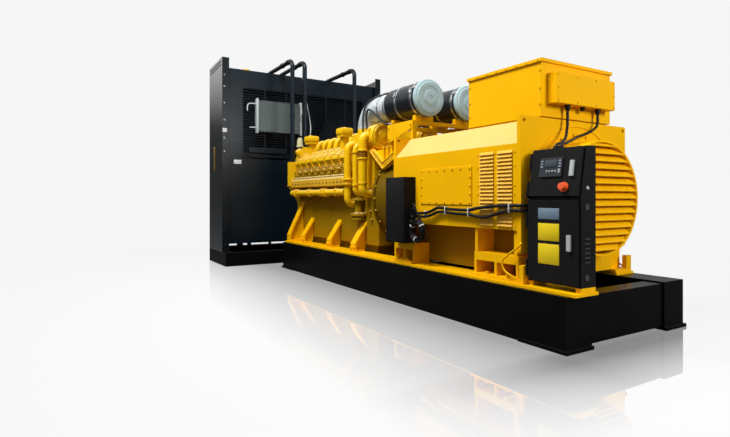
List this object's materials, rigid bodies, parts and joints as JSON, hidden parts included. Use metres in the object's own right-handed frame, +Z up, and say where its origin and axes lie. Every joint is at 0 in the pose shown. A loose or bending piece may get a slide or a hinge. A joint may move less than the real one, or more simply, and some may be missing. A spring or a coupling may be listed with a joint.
{
  "type": "diesel generating set",
  "caption": "Stationary diesel generating set: V engine and alternator on a rail base, with a control cabinet and a free-standing radiator with a fan.",
  "frame": {"origin": "on the floor under the middle of the bounding box", "axes": "+X towards the generator end, -X towards the radiator, -Y the side with the control cabinet, +Z up"},
  "size_m": [6.53, 2.95, 3.27],
  "materials": {
    "yellow_paint": "semi-gloss",
    "black_paint": "semi-gloss",
    "radiator_paint": "satin",
    "core_fins": "matt",
    "bare_metal": "satin",
    "pale_metal": "satin",
    "cable_jacket": "matt",
    "red_plastic": "gloss",
    "panel_plastic": "satin",
    "brass_cap": "satin"
  },
  "bodies": {
    "set": {"base_rails": "black_paint", "base_cross_beams": "black_paint", "deck_plates": "yellow_paint", "crankcase": "yellow_paint", "engine_feet": "yellow_paint", "front_cover": "yellow_paint", "crank_damper": "black_paint", "flywheel_housing": "yellow_paint", "cylinder_heads": "yellow_paint", "valve_covers": "yellow_paint", "side_ledges": "yellow_paint", "water_manifolds": "yellow_paint", "exhaust_manifold": "yellow_paint", "breather_caps": "yellow_paint", "riser_pipes": "yellow_paint", "charge_cooler": "yellow_paint", "turbo_housings": "yellow_paint", "air_cleaners": "black_paint", "air_cleaner_caps": "pale_metal", "intake_ducts": "bare_metal", "air_cleaner_frame": "yellow_paint", "alternator_body": "yellow_paint", "alternator_end_frame": "yellow_paint", "alternator_drive_frame": "yellow_paint", "alternator_feet": "yellow_paint", "air_boxes": "yellow_paint", "end_grille": "yellow_paint", "terminal_box": "yellow_paint", "connection_box": "yellow_paint", "cabinet_shell": "black_paint", "cabinet_stand": "yellow_paint", "junction_box": "black_paint", "harness": "cable_jacket", "harness_coil": "cable_jacket", "cabinet_cables": "cable_jacket", "radiator_plinth": "black_paint", "radiator_sides": "radiator_paint", "radiator_core": "core_fins", "radiator_tanks": "radiator_paint", "fan_shroud": "radiator_paint", "fan_guard": "radiator_paint", "fan_beam": "radiator_paint", "oil_cooler": "bare_metal", "coolant_pipes": "radiator_paint", "radiator_fittings": "brass_cap"},
    "upper_door_body": {"upper_door": "black_paint", "controller": "panel_plastic", "stop_button": "red_plastic", "upper_handle": "bare_metal"},
    "lower_door_body": {"lower_door": "black_paint", "lower_handle": "bare_metal"},
    "fan_body": {"radiator_fan": "radiator_paint"}
  },
  "joints": [
    {"name": "lower_door_hinge", "type": "hinge", "parent": "set", "child": "lower_door_body", "pos_m": [2.817, -0.663, 0.745], "axis": [0, 0, -1], "range_deg": [0, 100]},
    {"name": "upper_door_hinge", "type": "hinge", "parent": "set", "child": "upper_door_body", "pos_m": [2.817, -0.66269, 1.05378], "axis": [0, -0.1644, -0.9864], "range_deg": [0, 100]},
    {"name": "fan_turn", "type": "hinge", "parent": "set", "child": "fan_body", "pos_m": [-2.735, 0, 1.72], "axis": [1, 0, 0], "continuous": true}
  ]
}
